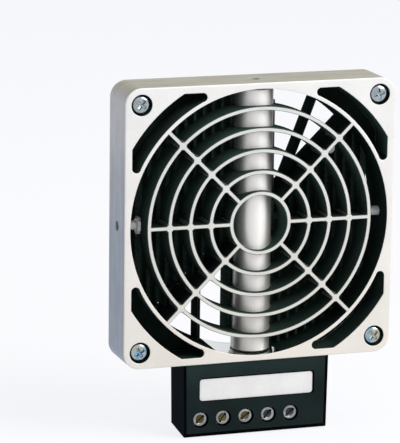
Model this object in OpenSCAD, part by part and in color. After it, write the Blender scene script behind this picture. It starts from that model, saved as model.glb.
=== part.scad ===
// Flat enclosure heater: a cast guard frame with a heater bar and fin blocks, and a terminal block below.
// Millimetres. X to the right, Y to the back, Z up. The origin is the centre of the frame's rear face.

/* [Guard frame] */
// Side of the square frame
frame_side = 119; // [107:0.5:132]
// Depth of the frame from front face to rear face
frame_depth = 22; // [21:0.5:30]
// Radius of the frame's outer corners
frame_corner_r = 7; // [4:0.5:9]
// Thickness of the frame's wall where the round air bore comes closest to it
side_wall = 2.5; // [2.5:0.1:5]
// Thickness of the round rim between the bore and a corner pocket
rim_wall = 1.6; // [1.4:0.1:2.4]
// Width of a corner pocket, measured along a radius
pocket_width = 7.3; // [5:0.1:7.6]
// Distance from the frame's outer face to a corner pocket
pocket_inset = 3.1; // [2:0.1:4]
// Radius of a pocket's round tips
pocket_tip_r = 1.9; // [1.2:0.1:2]
// Thickness of the floor at the back of a pocket
pocket_floor = 8; // [4:0.5:10]

/* [Grille] */
// Diameter of the middle line of the smallest ring
hub_ring_d = 25.5; // [24.5:0.1:27]
// Number of rings inside the rim
ring_count = 5; // [4:1:6]
// Width of a ring's front edge
ring_w = 1.7; // [1.4:0.1:2]
// Depth of the rings from the front face
ring_depth = 12; // [8:0.5:12]
// Width of the spokes
spoke_w = 1.7; // [1.4:0.1:2]
// Depth of the two deep diagonal webs from the front face
deep_web_depth = 21; // [17:0.5:21]
// Diameter of the small rounds where rings and spokes cross
node_d = 3.4; // [2.8:0.1:4]
// Thickness of the stays between the deep webs and the rim
stay_t = 1.2; // [0.8:0.1:2]
// Depth of the stays along the air flow
stay_depth = 9.3; // [6:0.1:9.5]
// Distance of the upright stay from the centre line
upright_stay_x = 22.8; // [20:0.1:30]
// Radius at which the leaning stay leaves its web
leaning_stay_r = 20.1; // [17:0.1:24]
// Angle of the leaning stay from the horizontal
leaning_stay_angle = 69; // [62:1:75]

/* [Corner screws] */
// Distance of a corner screw from the frame's outer faces
screw_inset = 7.1; // [6.5:0.1:8.5]
// Thread diameter of a corner screw
corner_screw_d = 4; // [3:0.1:5]
// Diameter of a corner screw's head
corner_head_d = 7.8; // [6.6:0.1:8]
// Height of a corner screw's head
corner_head_h = 3.3; // [2:0.1:3.4]
// Diameter of the counterbore round a head
counterbore_d = 9; // [8.4:0.1:10]
// Depth of the counterbore
counterbore_depth = 3.6; // [3.5:0.1:6]
// Length of screw that stands out of the rear face
stud_length = 8; // [5:0.5:14]

/* [Heater bar] */
// Diameter of the heater bar
bar_d = 16.4; // [14:0.2:17]
// Diameter of the heating cartridge
cartridge_d = 10; // [8:0.1:11]
// Solid length at the upper end of the bar
bar_cap = 8; // [7:0.5:14]
// Length of the plug in the lower end of the bar
plug_length = 6; // [4:0.5:12]

/* [Fin blocks] */
// Thickness of a fin
fin_t = 1.1; // [0.8:0.1:1.6]
// Distance from fin to fin
fin_pitch = 4; // [3.5:0.1:6]
// Thickness of the web that carries the fins
fin_web_t = 3; // [2:0.1:5]
// Distance of the root wall's outer face from the centre line
root_outer = 10; // [9.6:0.1:11]
// Distance of the root wall's inner face from the centre line
root_inner = 3; // [2:0.1:5]
// Gap between the fins and the air bore
fin_bore_gap = 0.8; // [0.6:0.1:3]
// Thickness of the lug that takes a side set screw
lug_t = 1.9; // [1.8:0.1:3]
// Width of the lug
lug_w = 7; // [6:0.5:9]

/* [Small screws] */
// Diameter of the set screws in the frame's walls
set_screw_d = 4; // [3:0.1:4]
// Depth of the set screws' outer ends below the wall's face
set_screw_recess = 1; // [0.5:0.1:2]
// Depth by which a set screw enters the bar or a lug
set_screw_entry = 1; // [0.6:0.1:1.2]
// Shank diameter of a block screw
block_screw_d = 2.5; // [2:0.1:2.6]
// Head diameter of a block screw
block_head_d = 4.4; // [4:0.1:5]
// Shank diameter of the screws that hold the terminal housing and its cover
housing_screw_d = 3; // [2.5:0.1:3.2]

/* [Terminal housing] */
// Width of the housing at the frame
block_w = 65; // [59:0.5:80]
// Lean of each side of the housing towards its lower edge
block_taper = 0.5; // [0:0.1:2]
// Height of the housing below the frame
block_h = 32; // [31:0.5:40]
// Depth of the housing
block_depth = 18.5; // [17:0.5:19]
// Distance of the housing's front behind the frame's front
block_setback = 1; // [0:0.1:2]
// Rise of the housing's lower face from front to back
block_rise = 1.9; // [0:0.1:3]
// Width of the bevels along the housing's side front edges
side_bevel = 0.9; // [0.4:0.1:1.6]
// Width of the bevel along the housing's lower front edge
low_bevel = 1.2; // [0.5:0.1:1.8]
// Thickness of the housing's walls
block_wall = 2; // [1.6:0.1:2.4]
// Thickness of the housing's front wall
block_front_wall = 3.4; // [3:0.1:4]
// Thickness of the cover at the back
cover_t = 2; // [1.5:0.1:2.5]

/* [Label plate] */
// Width of the label plate
label_w = 50.6; // [40:0.2:54]
// Height of the label plate
label_h = 9.4; // [6:0.2:9.8]
// Thickness of the label plate
label_t = 0.5; // [0.3:0.1:0.8]
// Depth of the label's recess
label_recess = 0.9; // [0.9:0.1:1.4]
// Radius of the label's corners
label_r = 1.2; // [0.6:0.1:2]
// Drop of the label's middle below the frame
label_drop = 11.6; // [10:0.1:12]

/* [Terminals] */
// Distance from terminal to terminal
terminal_pitch = 10.1; // [9.8:0.1:10.4]
// Distance of the first terminal from the housing's left edge
terminal_edge = 7; // [6.6:0.1:8]
// Drop of the terminals below the frame
terminal_drop = 24.3; // [24:0.1:25]
// Diameter of a terminal's opening in the front
terminal_hole_d = 7; // [6.6:0.1:7.6]
// Head diameter of a terminal screw
terminal_head_d = 6.2; // [5.6:0.1:6.4]
// Depth of a terminal screw's head below the front
terminal_recess = 0.9; // [0.5:0.1:1.2]
// Width of a terminal clamp
clamp_w = 7.6; // [7:0.1:8]
// Height of a terminal clamp
clamp_h = 8.4; // [8:0.1:8.6]
// Width of a wire entry below a terminal
wire_entry_w = 5.2; // [4.6:0.1:5.6]

/* [Leads] */
// Outer diameter of a lead
lead_d = 2; // [1.4:0.1:2.2]
// Diameter of the passage for the leads in the frame's lower wall
lead_passage_d = 9; // [8.4:0.1:10]

/* [Fits] */
// Gap on each side of a screw in its hole
screw_clear = 0.15; // [0.05:0.05:0.3]
// Gap between pieces that seat on each other
seat_clear = 0.15; // [0.05:0.05:0.3]

/* [Hidden] */
$fn = 64;
// Overlap that makes cuts clean
eps = 0.05;
// Depth by which a drilled hole starts inside the round bore
wall_cut = 2;
// Free depth at the end of a screw's hole
hole_end_gap = 0.5;

// Screw drives
cross_reach = 0.3;
corner_cross_w = 1;
corner_cross_depth = 1.6;
small_cross_w = 0.7;
small_cross_depth = 0.7;
socket_part = 0.6;
socket_depth = 2;

// Guard frame
half = frame_side / 2;
bore_d = frame_side - 2 * side_wall;
bore_r = bore_d / 2;
screw_pitch = frame_side - 2 * screw_inset;
shank_relief = 0.25;
corner_shank_r = corner_screw_d / 2 - shank_relief;
rim_r = bore_r + rim_wall;
pocket_r = rim_r + pocket_width;
pocket_edge = half - pocket_inset;
pocket_tip_z = pocket_edge - pocket_tip_r;
pocket_tip_min_x = 12;
pocket_tip_lap = 0.1;
pocket_tip_reach = rim_r + pocket_tip_r - pocket_tip_lap;
pocket_tip_x = sqrt(max(pow(pocket_tip_reach, 2) - pow(pocket_tip_z, 2), pow(pocket_tip_min_x, 2)));
y_front = -frame_depth;
y_mid = -frame_depth / 2;
corner_signs = [[-1, -1], [-1, 1], [1, -1], [1, 1]];

// Grille
web_root_gap = 0.8;
hub_r = hub_ring_d / 2;
ring_pitch = (bore_r + rim_wall / 2 - hub_r) / ring_count;
ring_radii = [for (i = [0:ring_count - 1]) hub_r + i * ring_pitch];
last_ring_r = ring_radii[ring_count - 1];
y_ring_back = y_front + ring_depth;
y_web_back = y_front + deep_web_depth;
deep_web_start_r = (root_outer + web_root_gap) * sqrt(2);
bar_channel_r = bar_d / 2 + seat_clear;
stay_inset = 0.2;
stay_y_back = y_web_back - stay_inset;

// Heater bar
bar_r = bar_d / 2;
bar_half_length = sqrt(bore_r * bore_r - bar_r * bar_r) - seat_clear;
cartridge_bore_r = cartridge_d / 2 + seat_clear / 2;
bar_screw_depth = set_screw_entry + hole_end_gap;

// Fin blocks
fin_front = y_ring_back + seat_clear;
fin_rear_gap = 0.4;
fin_back = -fin_rear_gap;
web_gap = 0.5;
lug_ring_gap = 0.25;
block_r = bore_r - fin_bore_gap;
lug_inner = last_ring_r + ring_w / 2 + lug_ring_gap;
lug_outer = lug_inner + lug_t;
web_side_gap = spoke_w / 2 + web_gap;
fin_count = floor((lug_outer - root_outer) / fin_pitch);
fin_places = [for (i = [1:fin_count]) root_outer + i * fin_pitch - fin_t / 2];
pad_r = 3.1;
pad_t = 3;
pad_lap = 0.5;
pad_front = y_ring_back - pad_t;
block_screw_r = last_ring_r - ring_pitch / 2;
block_screw_offset = spoke_w / 2 + pad_r - pad_lap;
block_boss_gap = 0.3;
block_boss_r = block_screw_offset - spoke_w / 2 - block_boss_gap;
block_hole_floor = 1;
block_screw_angle = 45 - asin(block_screw_offset / block_screw_r);
block_head_h = 1.6;
block_screw_length = 8;

// Terminal housing
block_top = -half;
block_low_w = block_w - 2 * block_taper;
block_bottom = block_top - block_h;
block_front = y_front + block_setback;
block_back = block_front + block_depth;
cover_front = block_back - cover_t;
front_inside = block_front + block_front_wall;
terminal_count = 5;
terminal_z = block_top - terminal_drop;
terminal_first_x = terminal_edge - block_low_w / 2;
terminal_places = [for (i = [0:terminal_count - 1]) terminal_first_x + i * terminal_pitch];
clamp_top = terminal_z + clamp_h / 2;
clamp_bottom = terminal_z - clamp_h / 2;
clamp_depth = cover_front - front_inside - 2 * seat_clear;
wiring_w = block_low_w - 2 * block_wall;
cover_w = wiring_w;
cover_top = block_top - block_wall;
cover_lap = 0.3;
cover_bottom = clamp_bottom - cover_lap;
cover_post_inset = 3;
cover_post_r = 3.6;
cover_screw_x = wiring_w / 2 - cover_post_inset;
cover_screw_z = cover_top - cover_post_inset;
cover_screw_length = 8;
cover_head_d = 5;
cover_head_h = 1.2;
housing_head_h = 2;
housing_head_d = 5.6;
washer_t = 0.6;
washer_lap = 0.3;
washer_r = housing_head_d / 2 + washer_lap;
post_gap = 0.4;
housing_screw_x = cover_screw_x - cover_post_r - post_gap - washer_r;
tag_tail = 4.2;
tag_w = 3;
housing_screw_engagement = 4;
housing_slot_w = 0.8;
housing_slot_depth = 0.8;
window_step = 0.3;
clamp_roof = 1.2;
terminal_dish_d = 3.4;
terminal_dish_depth = 0.7;
terminal_slot_w = 1;
terminal_slot_depth = 1.4;
terminal_screw_reach = 1;
strip_inset = 1;

// Leads
grommet_flange_d = 11.4;
grommet_flange_t = 1.2;
limiter_w = 7;
limiter_y = 10;
limiter_h = 4.2;
limiter_x = -(grommet_flange_d / 2 + housing_screw_x - washer_r) / 2;
limiter_lead_x = 1.8;
limiter_in_x = limiter_x + limiter_lead_x;
limiter_out_x = limiter_x - limiter_lead_x;
limiter_bottom = block_top - seat_clear - limiter_h;
lead_x = 1.35;
strip_t = 0.8;
strip_w = 4;
strip_top = clamp_top + strip_t;
lead_bend_rise = 5;
lead_bend_z = strip_top + lead_bend_rise;

// Flat rectangle with round corners, about its middle
module rounded_rect(w, h, r) {
    square([w - 2 * r, h], center = true);
    square([w, h - 2 * r], center = true);
    for (s = corner_signs)
        translate([s[0] * (w / 2 - r), s[1] * (h / 2 - r)])
            circle(r);
}

// Extrudes an X-Z outline along Y between two places
module along_y(y0, y1) {
    translate([0, y1, 0])
        rotate([90, 0, 0])
            linear_extrude(y1 - y0)
                children();
}

// Round bar along Y from y0 to y1
module rod_y(r, y0, y1) {
    translate([0, y0, 0])
        rotate([-90, 0, 0])
            cylinder(r = r, h = y1 - y0);
}

// Round bar along Z from z0 to z1
module rod_z(r, z0, z1) {
    translate([0, 0, z0])
        cylinder(r = r, h = z1 - z0);
}

// Places copies at the four corner screws
module at_corners() {
    for (s = corner_signs)
        translate([s[0] * screw_pitch / 2, 0, s[1] * screw_pitch / 2])
            children();
}

// One corner pocket's outline outside a radius, in the quadrant where X and Z are positive
module pocket_outline(inner_r) {
    tip_angle = atan2(pocket_tip_z, pocket_tip_x);
    reach = 2 * half;
    intersection() {
        difference() {
            circle(pocket_r);
            circle(inner_r);
        }
        square(pocket_edge);
        union() {
            translate([pocket_tip_x, pocket_tip_x])
                square(half);
            polygon([[0, 0], [reach * cos(tip_angle), reach * sin(tip_angle)],
                [reach * sin(tip_angle), reach * cos(tip_angle)]]);
        }
    }
    translate([pocket_tip_x, pocket_tip_z])
        circle(pocket_tip_r);
    translate([pocket_tip_z, pocket_tip_x])
        circle(pocket_tip_r);
}

// A flat bar from one radius to another at an angle
module spoke(angle, r0, r1, w) {
    rotate(angle)
        translate([r0, -w / 2])
            square([r1 - r0, w]);
}

// Small rounds where a spoke crosses the rings, from the second ring to a last one
module crossing_rounds(angle, last) {
    for (i = [1:last])
        rotate(angle)
            translate([ring_radii[i], 0])
                circle(d = node_d);
}

// Front outline of the rings, the spokes and the rounds where they cross
module grille_outline() {
    for (r = ring_radii)
        difference() {
            circle(r + ring_w / 2);
            circle(r - ring_w / 2);
        }
    for (a = [45, 135, 225, 315]) {
        spoke(a, hub_r, bore_r + rim_wall / 2, spoke_w);
        crossing_rounds(a, ring_count - 1);
    }
    for (a = [0, 180]) {
        spoke(a, hub_r, last_ring_r, spoke_w);
        crossing_rounds(a, ring_count - 2);
    }
}

// Stays that tie the deep webs to the rim in the two open sectors
module stay_outline() {
    intersection() {
        circle(bore_r + rim_wall / 2);
        union() {
            rotate(45)
                translate([leaning_stay_r, 0])
                    rotate(leaning_stay_angle - 45)
                        translate([0, -stay_t / 2])
                            square([bore_d, stay_t]);
            translate([-upright_stay_x - stay_t / 2, -bore_d])
                square([stay_t, bore_d - upright_stay_x]);
        }
    }
}

// Place of the block screw beside the deep web, for the right block and turned half round for the left
module at_block_screws() {
    for (turn = [0, 180])
        rotate([0, -turn, 0])
            translate([block_screw_r * cos(block_screw_angle), 0, block_screw_r * sin(block_screw_angle)])
                children();
}

// Solid of the casting before it is bored and drilled
module casting_body() {
    difference() {
        along_y(y_front, 0)
            rounded_rect(frame_side, frame_side, frame_corner_r);
        along_y(y_front - eps, eps)
            circle(bore_r, $fn = 128);
        for (turn = [0, 90, 180, 270])
            rotate([0, turn, 0]) {
                along_y(y_front - eps, -pocket_floor)
                    pocket_outline(rim_r, $fn = 128);
                // Behind the rim the pocket is open to the bore
                along_y(y_ring_back, -pocket_floor)
                    pocket_outline(bore_r - eps, $fn = 128);
            }
    }
    along_y(y_front, y_ring_back)
        grille_outline($fn = 96);
    along_y(y_front, y_web_back)
        for (a = [45, 225])
            spoke(a, deep_web_start_r, bore_r + rim_wall / 2, spoke_w);
    along_y(stay_y_back - stay_depth, stay_y_back)
        stay_outline();
    at_block_screws()
        rod_y(pad_r, pad_front, y_ring_back);
}

module guard_frame() {
    color("gainsboro")
    difference() {
        casting_body();
        // Channel in the rings that the bar lies in, open to the back
        translate([0, y_mid, 0])
            rod_z(bar_channel_r, -bore_r, bore_r);
        translate([-bar_channel_r, y_mid, -bore_r])
            cube([2 * bar_channel_r, y_ring_back - y_mid + eps, bore_d]);
        at_corners() {
            rod_y(corner_screw_d / 2 + screw_clear, y_front - eps, eps);
            rod_y(counterbore_d / 2, y_front - eps, y_front + counterbore_depth);
        }
        at_block_screws()
            rod_y(block_screw_d / 2 + screw_clear, pad_front - eps, y_ring_back + eps);
        // Holes for the set screws in the side walls and the top wall
        for (turn = [-90, 0, 90])
            rotate([0, turn, 0])
                translate([0, y_mid, 0])
                    rod_z(set_screw_d / 2 + screw_clear, bore_r - wall_cut, half + eps);
        // Passage of the leads and the threaded holes of the housing screws
        translate([0, y_mid, 0])
            rod_z(lead_passage_d / 2, -half - eps, -bore_r + wall_cut);
        for (side = [-1, 1])
            translate([side * housing_screw_x, y_mid, 0])
                rod_z(housing_screw_d / 2 + screw_clear, block_top - eps,
                    block_top + housing_screw_engagement + hole_end_gap);
    }
}

module heater_bar() {
    color("lightgray")
    translate([0, y_mid, 0])
    difference() {
        rod_z(bar_r, -bar_half_length, bar_half_length);
        rod_z(cartridge_bore_r, -bar_half_length - eps, bar_half_length - bar_cap);
        rod_z(set_screw_d / 2 + screw_clear, bar_half_length - bar_screw_depth, bar_half_length + eps);
    }
}

module heating_cartridge() {
    color("silver")
    translate([0, y_mid, 0])
        rod_z(cartridge_d / 2, -bar_half_length + plug_length, bar_half_length - bar_cap - seat_clear);
}

module cartridge_plug() {
    color("sienna")
    translate([0, y_mid, 0])
    difference() {
        rod_z(cartridge_d / 2, -bar_half_length, -bar_half_length + plug_length - seat_clear);
        for (side = [-1, 1])
            translate([side * lead_x, 0, 0])
                rod_z(lead_d / 2 + screw_clear, -bar_half_length - eps, -bar_half_length + plug_length);
    }
}

// Section of the right fin block, extruded along the air flow
module fin_outline() {
    intersection() {
        circle(block_r);
        union() {
            translate([root_inner, -block_r])
                square([root_outer - root_inner, 2 * block_r]);
            translate([root_inner, -fin_web_t / 2])
                square([lug_outer - root_inner, fin_web_t]);
            intersection() {
                // Fins stay below the deep web
                polygon([[root_outer, root_outer - web_side_gap * sqrt(2)], [root_outer, -bore_r],
                    [bore_r, -bore_r], [bore_r, bore_r - web_side_gap * sqrt(2)]]);
                for (x = fin_places)
                    translate([x - fin_t / 2, -bore_r])
                        square([fin_t, bore_d]);
            }
            rotate(block_screw_angle)
                translate([block_screw_r, 0])
                    circle(block_boss_r);
        }
    }
}

module fin_block() {
    difference() {
        union() {
            along_y(fin_front, fin_back)
                fin_outline();
            translate([lug_inner, y_mid - lug_w / 2, -lug_w / 2])
                cube([lug_t, fin_back - y_mid + lug_w / 2, lug_w]);
        }
        // Saddle on the bar
        translate([0, y_mid, 0])
            rod_z(bar_channel_r, -bore_r, bore_r);
        translate([lug_outer - set_screw_entry - hole_end_gap, y_mid, 0])
            rotate([0, 90, 0])
                cylinder(d = set_screw_d + 2 * screw_clear, h = lug_t);
        translate([block_screw_r * cos(block_screw_angle), 0, block_screw_r * sin(block_screw_angle)])
            rod_y(block_screw_d / 2 + screw_clear, fin_front - eps, fin_back - block_hole_floor);
    }
}

module right_fin_block() {
    color("#181c1a")
        fin_block();
}

module left_fin_block() {
    color("#181c1a")
        rotate([0, 180, 0])
            fin_block();
}

// Head with a cross recess, its top at Y = 0 and its body towards +Y
module cross_head(d, h, slot_w, slot_depth) {
    difference() {
        rod_y(d / 2, 0, h);
        for (turn = [0, 90])
            rotate([0, turn, 0])
                translate([-d * cross_reach, -eps, -slot_w / 2])
                    cube([d * 2 * cross_reach, slot_depth + eps, slot_w]);
    }
}

module corner_screws() {
    head_back = y_front + counterbore_depth;
    color("lightsteelblue")
    at_corners() {
        translate([0, head_back - corner_head_h, 0])
            cross_head(corner_head_d, corner_head_h, corner_cross_w, corner_cross_depth);
        rod_y(corner_shank_r, head_back - eps, eps);
        rod_y(corner_screw_d / 2, 0, stud_length);
    }
}

// Set screw along +Z with a hexagon socket in its outer end
module set_screw(inner, outer) {
    difference() {
        rod_z(set_screw_d / 2, inner, outer);
        translate([0, 0, outer - socket_depth])
            cylinder(d = set_screw_d * socket_part, h = socket_depth + eps, $fn = 6);
    }
}

module side_set_screws() {
    color("silver")
    for (turn = [-90, 90])
        rotate([0, turn, 0])
            translate([0, y_mid, 0])
                set_screw(lug_outer - set_screw_entry, half - set_screw_recess);
}

module bar_set_screw() {
    color("silver")
    translate([0, y_mid, 0])
        set_screw(bar_half_length - set_screw_entry, half - set_screw_recess);
}

module block_screws() {
    color("silver")
    at_block_screws() {
        translate([0, pad_front - block_head_h, 0])
            cross_head(block_head_d, block_head_h, small_cross_w, small_cross_depth);
        rod_y(block_screw_d / 2, pad_front - eps, pad_front - block_head_h + block_screw_length);
    }
}

// Outer form of the housing: a tapered front outline, and a lower face that rises to the back
module housing_body() {
    low_front = block_bottom + low_bevel;
    intersection() {
        along_y(block_front, block_back)
            polygon([[-block_w / 2, block_top], [block_w / 2, block_top],
                [block_low_w / 2, block_bottom], [-block_low_w / 2, block_bottom]]);
        translate([-block_w / 2, 0, 0])
            rotate([90, 0, 90])
                linear_extrude(block_w)
                    polygon([[block_front, block_top], [block_back, block_top],
                        [block_back, block_bottom + block_rise], [block_front + low_bevel, block_bottom],
                        [block_front, low_front]]);
    }
}

// Bar that bevels the housing's right front edge, which leans in towards its lower end
module edge_bevel() {
    lean = atan2(block_taper, block_h);
    side = side_bevel * sqrt(2);
    translate([block_w / 2, block_front, block_top])
        rotate([0, lean, 0])
            rotate([0, 0, 45])
                translate([-side / 2, -side / 2, -block_h - side_bevel])
                    cube([side, side, block_h + 2 * side_bevel]);
}

// Places copies at the terminals
module at_terminals() {
    for (x = terminal_places)
        translate([x, 0, terminal_z])
            children();
}

module at_cover_screws() {
    for (side = [-1, 1])
        translate([side * cover_screw_x, 0, cover_screw_z])
            children();
}

module terminal_housing() {
    chamber_w = clamp_w + 2 * seat_clear;
    color("#1a1f20")
    difference() {
        housing_body();
        for (turn = [0, 1])
            mirror([turn, 0, 0])
                edge_bevel();
        // Seat of the cover, the wiring space and one chamber for each clamp
        translate([-cover_w / 2, cover_front, cover_bottom])
            cube([cover_w, cover_t + eps, cover_top - cover_bottom]);
        difference() {
            translate([-wiring_w / 2, front_inside, clamp_top])
                cube([wiring_w, cover_front - front_inside + eps, cover_top - clamp_top]);
            at_cover_screws()
                rod_y(cover_post_r, front_inside - eps, cover_front);
        }
        at_terminals() {
            translate([-chamber_w / 2, front_inside, -clamp_h / 2 - seat_clear])
                cube([chamber_w, cover_front - front_inside + eps, clamp_h + seat_clear + eps]);
            rod_y(terminal_hole_d / 2, block_front - eps, front_inside + eps);
            translate([-wire_entry_w / 2, y_mid - wire_entry_w / 2, -block_h])
                cube([wire_entry_w, wire_entry_w, block_h - clamp_h / 2]);
        }
        at_cover_screws()
            rod_y(housing_screw_d / 2 + screw_clear, cover_front - cover_screw_length, cover_front + eps);
        translate([0, 0, block_top - label_drop])
            along_y(block_front - eps, block_front + label_recess)
                rounded_rect(label_w + 2 * seat_clear, label_h + 2 * seat_clear, label_r + seat_clear);
        // Openings in the upper wall for the leads, the limiter and the housing screws
        translate([0, y_mid, 0])
            rod_z(lead_passage_d / 2, cover_top - eps, block_top + eps);
        translate([limiter_x, y_mid, cover_top - eps])
            linear_extrude(block_wall + 2 * eps)
                square([limiter_w + 2 * seat_clear, limiter_y + 2 * seat_clear], center = true);
        for (side = [-1, 1])
            translate([side * housing_screw_x, y_mid, 0])
                rod_z(housing_screw_d / 2 + screw_clear, cover_top - eps, block_top + eps);
    }
}

module terminal_cover() {
    color("#1a1f20")
    difference() {
        translate([-cover_w / 2 + seat_clear, cover_front, cover_bottom + seat_clear])
            cube([cover_w - 2 * seat_clear, cover_t, cover_top - cover_bottom - 2 * seat_clear]);
        at_cover_screws() {
            rod_y(housing_screw_d / 2 + screw_clear, cover_front - eps, block_back + eps);
            rod_y(cover_head_d / 2 + screw_clear, block_back - cover_head_h, block_back + eps);
        }
    }
}

module cover_screws() {
    color("silver")
    at_cover_screws() {
        rotate([0, 0, 180])
            translate([0, -block_back, 0])
                cross_head(cover_head_d, cover_head_h, small_cross_w, small_cross_depth);
        rod_y(housing_screw_d / 2, cover_front - cover_screw_length + hole_end_gap,
            block_back - cover_head_h + eps);
    }
}

module label_plate() {
    color("white")
    translate([0, 0, block_top - label_drop])
        along_y(block_front + label_recess - label_t, block_front + label_recess)
            rounded_rect(label_w, label_h, label_r);
}

// Clamp cage: a block with a window for the wire and a hole for the screw
module terminal_clamps() {
    clamp_front = front_inside + seat_clear;
    window_w = wire_entry_w - 2 * window_step;
    color("goldenrod")
    at_terminals()
        difference() {
            translate([-clamp_w / 2, clamp_front, -clamp_h / 2])
                cube([clamp_w, clamp_depth, clamp_h]);
            translate([-window_w / 2, y_mid - window_w / 2, -clamp_h / 2 - eps])
                cube([window_w, window_w, clamp_h - clamp_roof]);
            rod_y(housing_screw_d / 2 + screw_clear, clamp_front - eps, y_mid);
        }
}

module terminal_screws() {
    head_front = block_front + terminal_recess;
    head_back = front_inside;
    color("silver")
    at_terminals() {
        difference() {
            rod_y(terminal_head_d / 2, head_front, head_back);
            rod_y(terminal_dish_d / 2, head_front - eps, head_front + terminal_dish_depth);
            translate([-terminal_head_d / 2, head_front - eps, -terminal_slot_w / 2])
                cube([terminal_head_d, terminal_slot_depth + eps, terminal_slot_w]);
        }
        rod_y(housing_screw_d / 2, head_back - eps, y_mid - wire_entry_w / 2 + terminal_screw_reach);
    }
}

// Strips that join the first clamp to the second and the third to the fourth
module link_strips() {
    color("goldenrod")
    for (i = [0, 2])
        translate([terminal_places[i] - clamp_w / 2 + strip_inset, y_mid - strip_w / 2, clamp_top])
            cube([terminal_pitch + clamp_w - 2 * strip_inset, strip_w, strip_t]);
}

module heat_limiter() {
    color("dimgray")
    translate([limiter_x - limiter_w / 2, y_mid - limiter_y / 2, limiter_bottom])
        cube([limiter_w, limiter_y, limiter_h]);
}

// Round lead through a list of points, with round bends
module lead(points) {
    for (i = [0:len(points) - 2]) {
        step = points[i + 1] - points[i];
        run = norm(step);
        translate(points[i])
            rotate([0, acos(step[2] / run), atan2(step[1], step[0])])
                cylinder(d = lead_d, h = run);
    }
    for (i = [1:len(points) - 2])
        translate(points[i])
            sphere(d = lead_d);
}

module cartridge_leads() {
    start_z = -bar_half_length + plug_length;
    color("firebrick") {
        lead([[-lead_x, y_mid, start_z], [-lead_x, y_mid, lead_bend_z],
            [limiter_in_x, y_mid, lead_bend_z], [limiter_in_x, y_mid, limiter_bottom]]);
        lead([[lead_x, y_mid, start_z], [lead_x, y_mid, lead_bend_z],
            [terminal_places[3], y_mid, lead_bend_z], [terminal_places[3], y_mid, strip_top]]);
    }
}

module limiter_lead() {
    color("firebrick")
        lead([[limiter_out_x, y_mid, limiter_bottom], [limiter_out_x, y_mid, lead_bend_z],
            [terminal_places[1], y_mid, lead_bend_z], [terminal_places[1], y_mid, strip_top]]);
}

module lead_grommet() {
    color("dimgray")
    translate([0, y_mid, 0])
    difference() {
        union() {
            rod_z(lead_passage_d / 2 - seat_clear, cover_top - eps, -bore_r - hole_end_gap);
            rod_z(grommet_flange_d / 2, cover_top - grommet_flange_t, cover_top);
        }
        for (side = [-1, 1])
            translate([side * lead_x, 0, 0])
                rod_z(lead_d / 2 + screw_clear, cover_top - grommet_flange_t - eps, -bore_r);
    }
}

// Ring tag under the right housing screw, with a tail at the back that turns down to the earth lead
module earth_tag() {
    color("goldenrod")
    translate([housing_screw_x, y_mid, cover_top])
    difference() {
        union() {
            rod_z(washer_r, -washer_t, 0);
            translate([-tag_w / 2, 0, -washer_t])
                cube([tag_w, tag_tail, washer_t]);
            translate([-tag_w / 2, tag_tail - washer_t, -tag_tail])
                cube([tag_w, washer_t, tag_tail]);
        }
        rod_z(housing_screw_d / 2 + screw_clear, -washer_t - eps, eps);
    }
}

module earth_lead() {
    tag_y = y_mid + tag_tail - washer_t / 2;
    end_x = terminal_places[terminal_count - 1];
    color("yellowgreen")
        lead([[housing_screw_x, tag_y, cover_top - tag_tail], [housing_screw_x, tag_y, lead_bend_z],
            [end_x, tag_y, lead_bend_z], [end_x, y_mid, lead_bend_z], [end_x, y_mid, clamp_top]]);
}

module housing_screws() {
    head_top = cover_top - washer_t;
    head_bottom = head_top - housing_head_h;
    color("silver")
    for (side = [-1, 1])
        translate([side * housing_screw_x, y_mid, 0]) {
            difference() {
                rod_z(housing_head_d / 2, head_bottom, head_top);
                translate([-housing_head_d / 2, -housing_slot_w / 2, head_bottom - eps])
                    cube([housing_head_d, housing_slot_w, housing_slot_depth + eps]);
            }
            rod_z(housing_screw_d / 2, head_top - eps, block_top + housing_screw_engagement);
        }
}

module housing_washer() {
    color("silver")
    translate([-housing_screw_x, y_mid, cover_top])
    difference() {
        rod_z(washer_r, -washer_t, 0);
        rod_z(housing_screw_d / 2 + screw_clear, -washer_t - eps, eps);
    }
}

guard_frame();
heater_bar();
heating_cartridge();
cartridge_plug();
left_fin_block();
right_fin_block();
corner_screws();
side_set_screws();
bar_set_screw();
block_screws();
terminal_housing();
terminal_cover();
label_plate();
terminal_clamps();
terminal_screws();
link_strips();
heat_limiter();
limiter_lead();
cartridge_leads();
lead_grommet();
earth_tag();
earth_lead();
housing_screws();
housing_washer();
cover_screws();
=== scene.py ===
import math

import bmesh
import bpy
from mathutils import Matrix, Vector

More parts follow.
